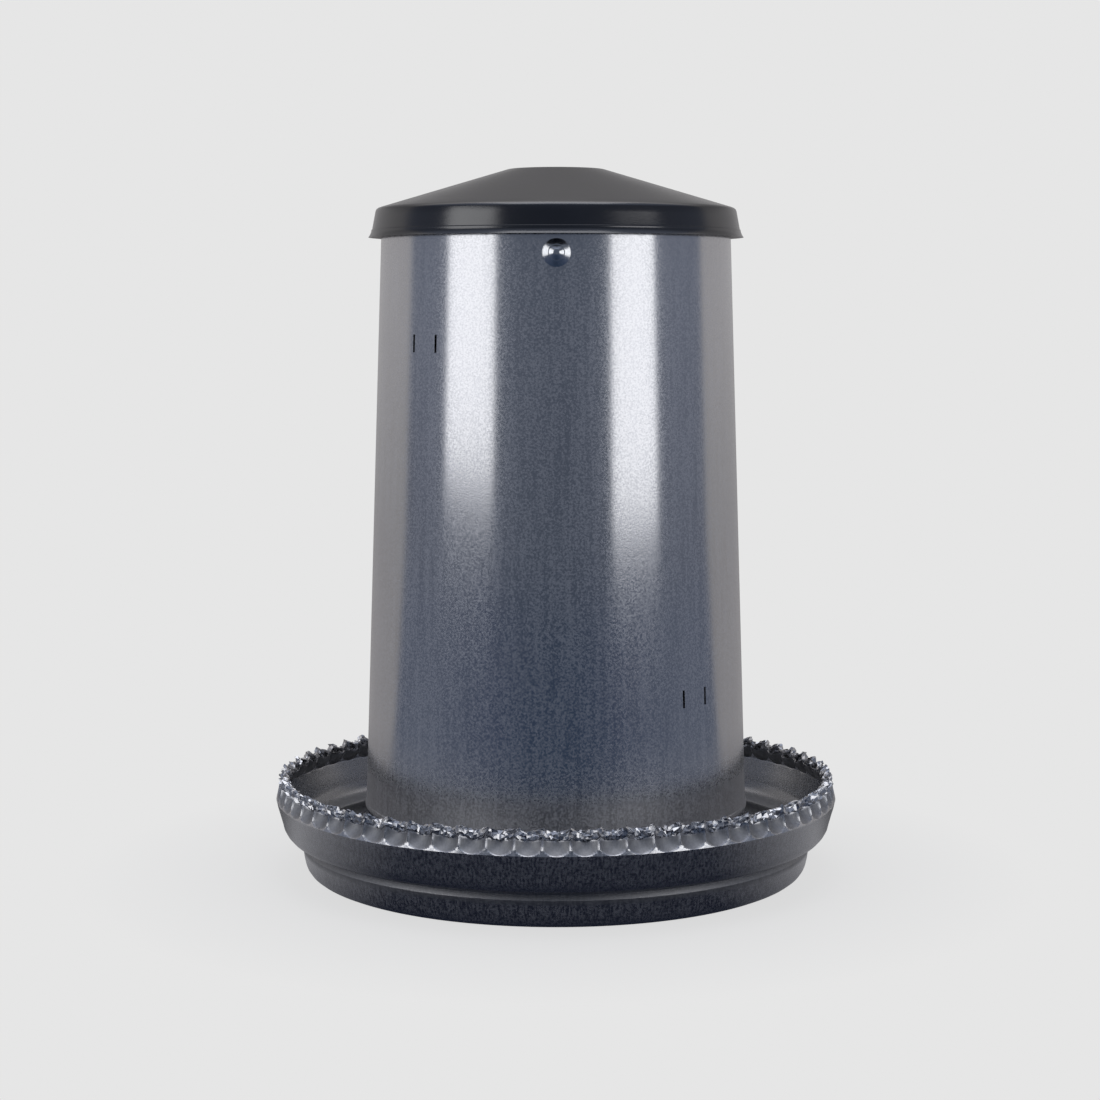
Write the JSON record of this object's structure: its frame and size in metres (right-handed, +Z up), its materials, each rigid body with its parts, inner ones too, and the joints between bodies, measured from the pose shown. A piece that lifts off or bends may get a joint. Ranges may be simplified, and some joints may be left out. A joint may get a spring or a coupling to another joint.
{
  "type": "hopper feeder",
  "caption": "Free-standing gravity feeder: tapered sheet metal hopper tube with a shallow conical lid, held above a round pan with a crimped, fluted rim.",
  "frame": {"origin": "middle of the pan's underside, on the surface it stands on, on the axis of the pan, tube and lid", "axes": "+Z up along the feeder's axis, front of the feeder towards -Y, +X to the right seen from the front"},
  "size_m": [0.42, 0.42, 0.522],
  "materials": {
    "pan_sheet": "galvanised, satin",
    "tube_sheet": "galvanised, satin",
    "lid": "satin black moulding",
    "inner_steel": "galvanised",
    "fasteners": "zinc plated",
    "rivets": "bright plated"
  },
  "bodies": {
    "root": {"feed_pan": "pan_sheet", "hopper_tube": "tube_sheet", "lid": "lid", "upper_cross_bar": "inner_steel", "lower_cross_bar": "inner_steel", "hanger_strap": "inner_steel", "centre_rod": "fasteners", "pan_washer_above": "fasteners", "pan_nut_above": "fasteners", "pan_washer_below": "fasteners", "pan_nut_below": "fasteners", "upper_bar_nut_above": "fasteners", "upper_bar_nut_below": "fasteners", "lower_bar_nut_above": "fasteners", "lower_bar_nut_below": "fasteners", "front_rivet": "rivets", "back_rivet": "rivets", "front_cup_washer": "rivets", "back_cup_washer": "rivets"}
  },
  "joints": []
}
